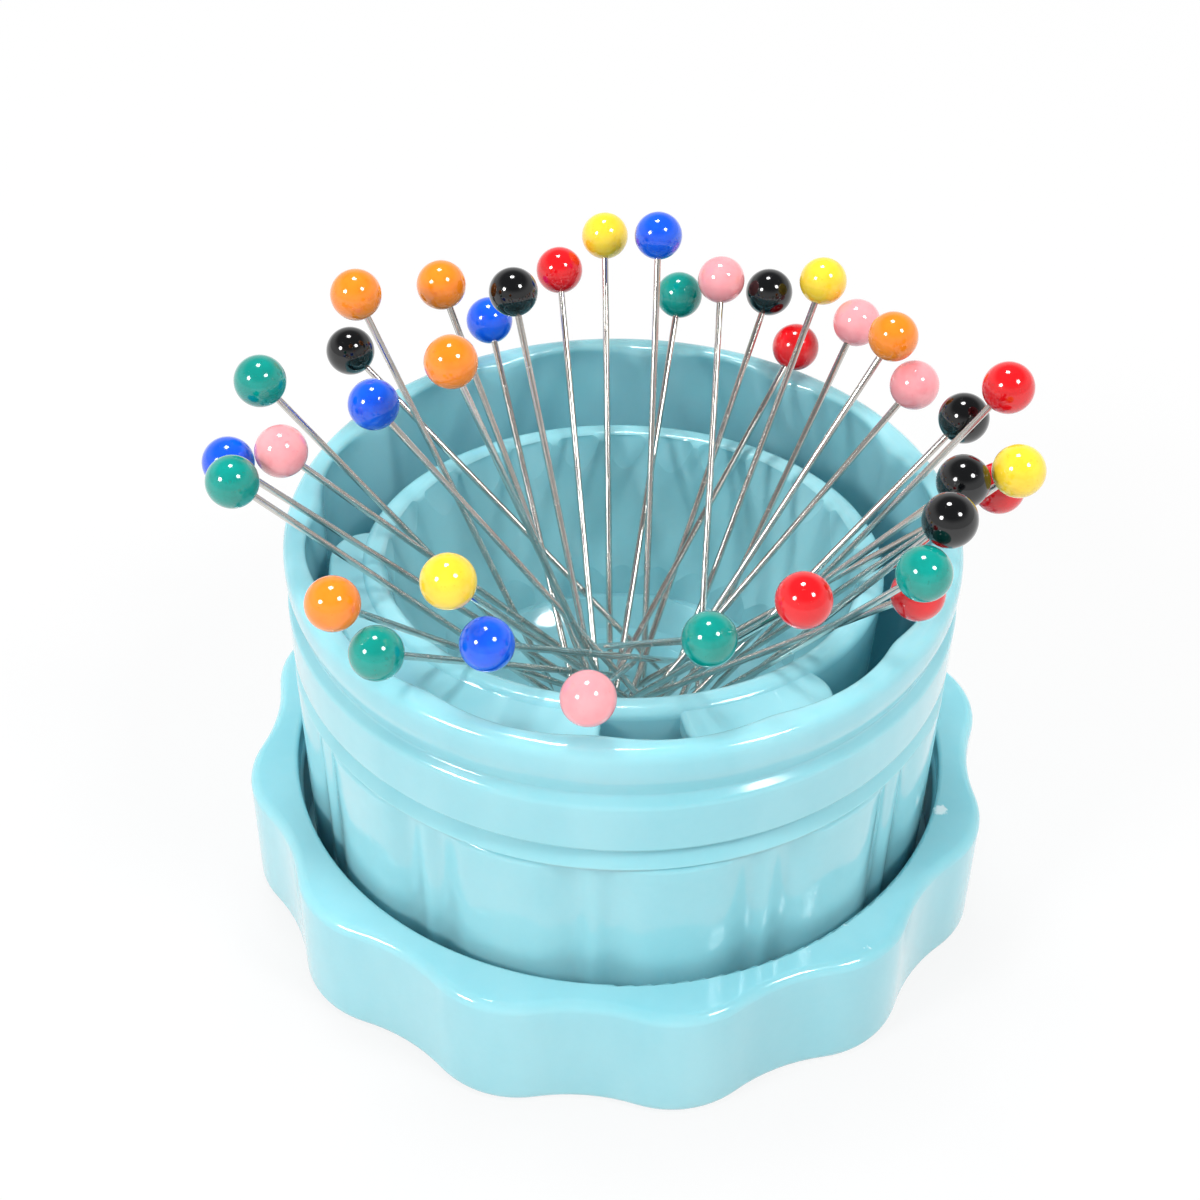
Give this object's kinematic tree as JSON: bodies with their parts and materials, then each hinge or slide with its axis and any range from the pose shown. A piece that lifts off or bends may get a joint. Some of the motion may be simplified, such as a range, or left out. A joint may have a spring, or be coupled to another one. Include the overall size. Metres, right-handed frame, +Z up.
{
  "type": "magnetic pin bowl",
  "caption": "Fluted round cup in its upturned scalloped lid, with a shallow magnetic bowl inside and ball-head pins fanned out of it.",
  "frame": {"origin": "middle of the lid's flat underside, which the whole object stands on", "axes": "+Z up along the axis of the lid and the cup; -Y towards the front that the picture shows"},
  "size_m": [0.0702, 0.0694, 0.0602],
  "materials": {
    "aqua": "glossy light turquoise",
    "magnet": "plated",
    "orange": "glossy pearl",
    "red": "glossy pearl",
    "yellow": "glossy pearl",
    "blue": "glossy pearl",
    "green": "glossy pearl",
    "pink": "glossy pearl",
    "black": "glossy pearl"
  },
  "bodies": {
    "lid": {"lid": "aqua"},
    "cup": {"cup": "aqua"},
    "bowl": {"bowl": "aqua", "magnet": "magnet", "magnet_cap": "aqua"},
    "pin_orange_1": {"pin_orange_1": "orange"},
    "pin_orange_2": {"pin_orange_2": "orange"},
    "pin_black_1": {"pin_black_1": "black"},
    "pin_red_1": {"pin_red_1": "red"},
    "pin_yellow_1": {"pin_yellow_1": "yellow"},
    "pin_blue_1": {"pin_blue_1": "blue"},
    "pin_green_1": {"pin_green_1": "green"},
    "pin_pink_1": {"pin_pink_1": "pink"},
    "pin_black_2": {"pin_black_2": "black"},
    "pin_yellow_2": {"pin_yellow_2": "yellow"},
    "pin_pink_2": {"pin_pink_2": "pink"},
    "pin_orange_3": {"pin_orange_3": "orange"},
    "pin_red_2": {"pin_red_2": "red"},
    "pin_pink_3": {"pin_pink_3": "pink"},
    "pin_red_3": {"pin_red_3": "red"},
    "pin_black_3": {"pin_black_3": "black"},
    "pin_yellow_3": {"pin_yellow_3": "yellow"},
    "pin_black_4": {"pin_black_4": "black"},
    "pin_red_4": {"pin_red_4": "red"},
    "pin_black_5": {"pin_black_5": "black"},
    "pin_green_2": {"pin_green_2": "green"},
    "pin_red_5": {"pin_red_5": "red"},
    "pin_red_6": {"pin_red_6": "red"},
    "pin_green_3": {"pin_green_3": "green"},
    "pin_pink_4": {"pin_pink_4": "pink"},
    "pin_blue_2": {"pin_blue_2": "blue"},
    "pin_yellow_4": {"pin_yellow_4": "yellow"},
    "pin_orange_4": {"pin_orange_4": "orange"},
    "pin_green_4": {"pin_green_4": "green"},
    "pin_green_5": {"pin_green_5": "green"},
    "pin_blue_3": {"pin_blue_3": "blue"},
    "pin_pink_5": {"pin_pink_5": "pink"},
    "pin_green_6": {"pin_green_6": "green"},
    "pin_black_6": {"pin_black_6": "black"},
    "pin_blue_4": {"pin_blue_4": "blue"},
    "pin_orange_5": {"pin_orange_5": "orange"},
    "pin_blue_5": {"pin_blue_5": "blue"}
  },
  "joints": [
    {"name": "cup_lift", "type": "slide", "parent": "lid", "child": "cup", "axis": [0, 0, 1], "range_m": [0, 0.015]},
    {"name": "bowl_lift", "type": "slide", "parent": "cup", "child": "bowl", "axis": [0, 0, 1], "range_m": [0, 0.04]},
    {"name": "pin_orange_1_pull", "type": "slide", "parent": "bowl", "child": "pin_orange_1", "axis": [-0.4005, 0.1783, 0.8988], "range_m": [0, 0.05]},
    {"name": "pin_orange_2_pull", "type": "slide", "parent": "bowl", "child": "pin_orange_2", "axis": [-0.361, 0.4458, 0.8192], "range_m": [0, 0.05]},
    {"name": "pin_black_1_pull", "type": "slide", "parent": "bowl", "child": "pin_black_1", "axis": [-0.2202, 0.545, 0.809], "range_m": [0, 0.05]},
    {"name": "pin_red_1_pull", "type": "slide", "parent": "bowl", "child": "pin_red_1", "axis": [-0.1144, 0.7223, 0.682], "range_m": [0, 0.05]},
    {"name": "pin_yellow_1_pull", "type": "slide", "parent": "bowl", "child": "pin_yellow_1", "axis": [-0.035, 0.6682, 0.7431], "range_m": [0, 0.05]},
    {"name": "pin_blue_1_pull", "type": "slide", "parent": "bowl", "child": "pin_blue_1", "axis": [0.01, 0.5735, 0.8192], "range_m": [0, 0.05]},
    {"name": "pin_green_1_pull", "type": "slide", "parent": "bowl", "child": "pin_green_1", "axis": [0.135, 0.7653, 0.6293], "range_m": [0, 0.05]},
    {"name": "pin_pink_1_pull", "type": "slide", "parent": "bowl", "child": "pin_pink_1", "axis": [0.037, 0.7061, 0.7071], "range_m": [0, 0.05]},
    {"name": "pin_black_2_pull", "type": "slide", "parent": "bowl", "child": "pin_black_2", "axis": [0.3023, 0.6789, 0.6691], "range_m": [0, 0.05]},
    {"name": "pin_yellow_2_pull", "type": "slide", "parent": "bowl", "child": "pin_yellow_2", "axis": [0.3306, 0.5965, 0.7314], "range_m": [0, 0.05]},
    {"name": "pin_pink_2_pull", "type": "slide", "parent": "bowl", "child": "pin_pink_2", "axis": [0.4047, 0.6233, 0.6691], "range_m": [0, 0.05]},
    {"name": "pin_orange_3_pull", "type": "slide", "parent": "bowl", "child": "pin_orange_3", "axis": [0.5043, 0.3531, 0.788], "range_m": [0, 0.05]},
    {"name": "pin_red_2_pull", "type": "slide", "parent": "bowl", "child": "pin_red_2", "axis": [0.4581, 0.6791, 0.5736], "range_m": [0, 0.05]},
    {"name": "pin_pink_3_pull", "type": "slide", "parent": "bowl", "child": "pin_pink_3", "axis": [0.6202, 0.3876, 0.682], "range_m": [0, 0.05]},
    {"name": "pin_red_3_pull", "type": "slide", "parent": "bowl", "child": "pin_red_3", "axis": [0.5591, 0.0098, 0.829], "range_m": [0, 0.05]},
    {"name": "pin_black_3_pull", "type": "slide", "parent": "bowl", "child": "pin_black_3", "axis": [0.6509, 0.2763, 0.7071], "range_m": [0, 0.05]},
    {"name": "pin_yellow_3_pull", "type": "slide", "parent": "bowl", "child": "pin_yellow_3", "axis": [0.5914, -0.2152, 0.7771], "range_m": [0, 0.05]},
    {"name": "pin_black_4_pull", "type": "slide", "parent": "bowl", "child": "pin_black_4", "axis": [0.631, -0.1227, 0.766], "range_m": [0, 0.05]},
    {"name": "pin_red_4_pull", "type": "slide", "parent": "bowl", "child": "pin_red_4", "axis": [0.7359, -0.1034, 0.6691], "range_m": [0, 0.05]},
    {"name": "pin_black_5_pull", "type": "slide", "parent": "bowl", "child": "pin_black_5", "axis": [0.4937, -0.2625, 0.829], "range_m": [0, 0.05]},
    {"name": "pin_green_2_pull", "type": "slide", "parent": "bowl", "child": "pin_green_2", "axis": [0.5278, -0.3428, 0.7771], "range_m": [0, 0.05]},
    {"name": "pin_red_5_pull", "type": "slide", "parent": "bowl", "child": "pin_red_5", "axis": [0.6947, -0.2949, 0.6561], "range_m": [0, 0.05]},
    {"name": "pin_red_6_pull", "type": "slide", "parent": "bowl", "child": "pin_red_6", "axis": [0.445, -0.445, 0.7771], "range_m": [0, 0.05]},
    {"name": "pin_green_3_pull", "type": "slide", "parent": "bowl", "child": "pin_green_3", "axis": [0.2332, -0.7178, 0.6561], "range_m": [0, 0.05]},
    {"name": "pin_pink_4_pull", "type": "slide", "parent": "bowl", "child": "pin_pink_4", "axis": [-0.0973, -0.7927, 0.6018], "range_m": [0, 0.05]},
    {"name": "pin_blue_2_pull", "type": "slide", "parent": "bowl", "child": "pin_blue_2", "axis": [-0.3886, -0.673, 0.6293], "range_m": [0, 0.05]},
    {"name": "pin_yellow_4_pull", "type": "slide", "parent": "bowl", "child": "pin_yellow_4", "axis": [-0.3699, -0.5091, 0.7771], "range_m": [0, 0.05]},
    {"name": "pin_orange_4_pull", "type": "slide", "parent": "bowl", "child": "pin_orange_4", "axis": [-0.4353, -0.5572, 0.7071], "range_m": [0, 0.05]},
    {"name": "pin_green_4_pull", "type": "slide", "parent": "bowl", "child": "pin_green_4", "axis": [-0.4632, -0.6375, 0.6157], "range_m": [0, 0.05]},
    {"name": "pin_green_5_pull", "type": "slide", "parent": "bowl", "child": "pin_green_5", "axis": [-0.6399, -0.1956, 0.7431], "range_m": [0, 0.05]},
    {"name": "pin_blue_3_pull", "type": "slide", "parent": "bowl", "child": "pin_blue_3", "axis": [-0.689, -0.1591, 0.7071], "range_m": [0, 0.05]},
    {"name": "pin_pink_5_pull", "type": "slide", "parent": "bowl", "child": "pin_pink_5", "axis": [-0.6203, -0.2136, 0.7547], "range_m": [0, 0.05]},
    {"name": "pin_green_6_pull", "type": "slide", "parent": "bowl", "child": "pin_green_6", "axis": [-0.5714, -0.05, 0.8192], "range_m": [0, 0.05]},
    {"name": "pin_black_6_pull", "type": "slide", "parent": "bowl", "child": "pin_black_6", "axis": [-0.6998, 0.3116, 0.6428], "range_m": [0, 0.05]},
    {"name": "pin_blue_4_pull", "type": "slide", "parent": "bowl", "child": "pin_blue_4", "axis": [-0.6366, 0.1587, 0.7547], "range_m": [0, 0.05]},
    {"name": "pin_orange_5_pull", "type": "slide", "parent": "bowl", "child": "pin_orange_5", "axis": [-0.342, 0.006, 0.9397], "range_m": [0, 0.05]},
    {"name": "pin_blue_5_pull", "type": "slide", "parent": "bowl", "child": "pin_blue_5", "axis": [-0.2468, 0.7595, 0.6018], "range_m": [0, 0.05]}
  ]
}
